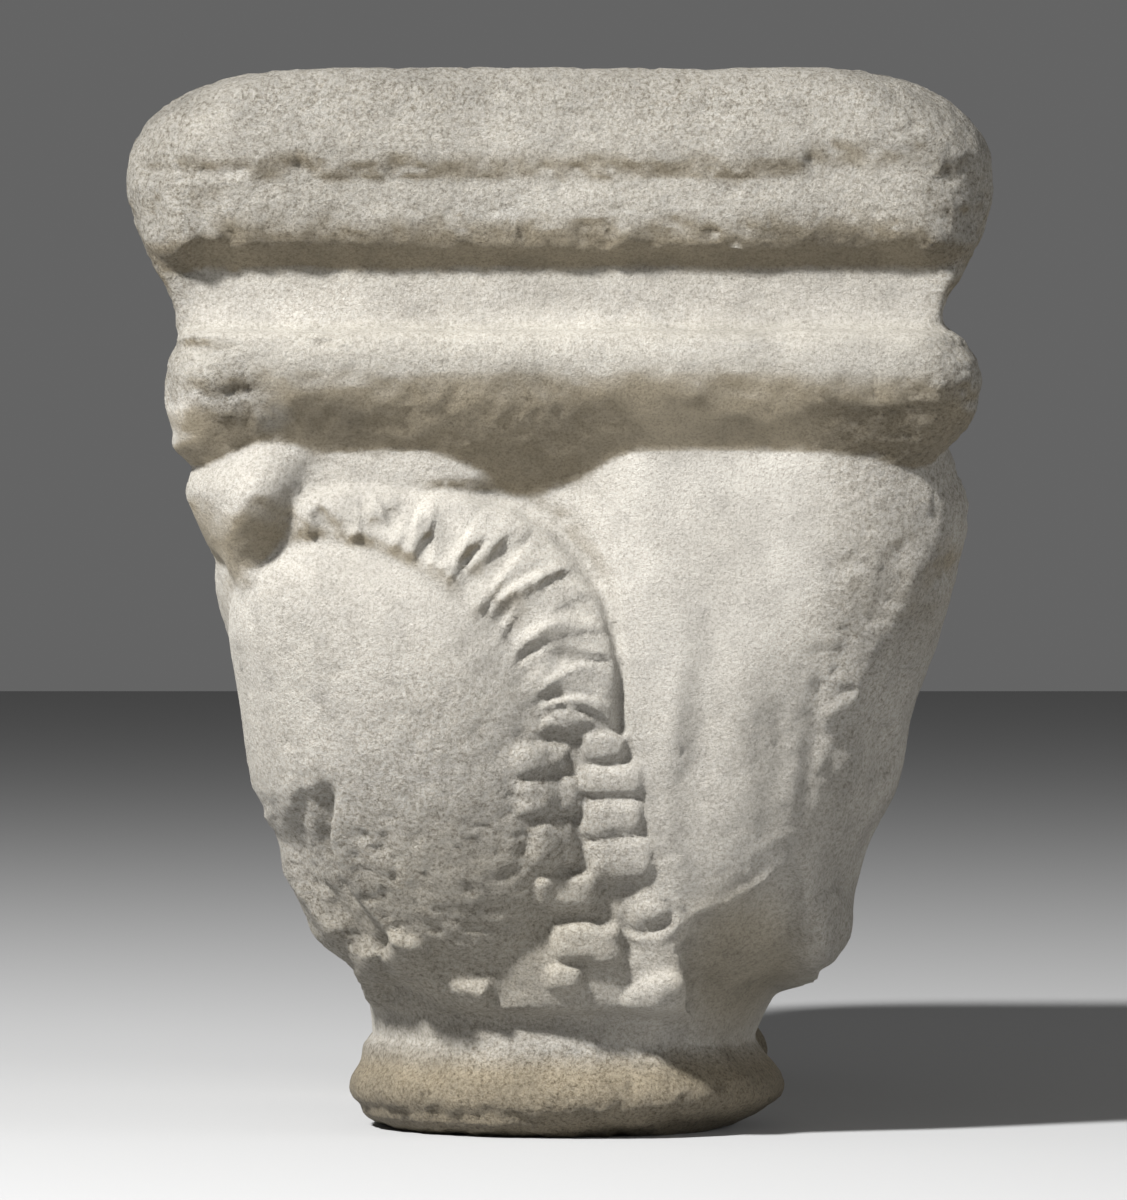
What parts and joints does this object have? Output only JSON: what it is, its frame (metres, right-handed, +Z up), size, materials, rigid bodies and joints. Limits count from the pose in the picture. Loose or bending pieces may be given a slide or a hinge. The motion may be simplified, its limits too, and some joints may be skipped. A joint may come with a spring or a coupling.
{
  "type": "double capital",
  "caption": "Carved stone double capital: a long moulded abacus over twin bells with a crouching beast in relief, each bell ending in a round neck and astragal.",
  "frame": {"origin": "on the floor, under the middle of the block", "axes": "+Z up, +Y along the length of the abacus, from the carved face towards the hidden bell; the carved face looks towards -Y"},
  "size_m": [0.2932, 0.5, 0.364],
  "materials": {
    "marble": "weathered, granular, matt"
  },
  "bodies": {
    "root": {"double_capital": "marble"}
  },
  "joints": []
}
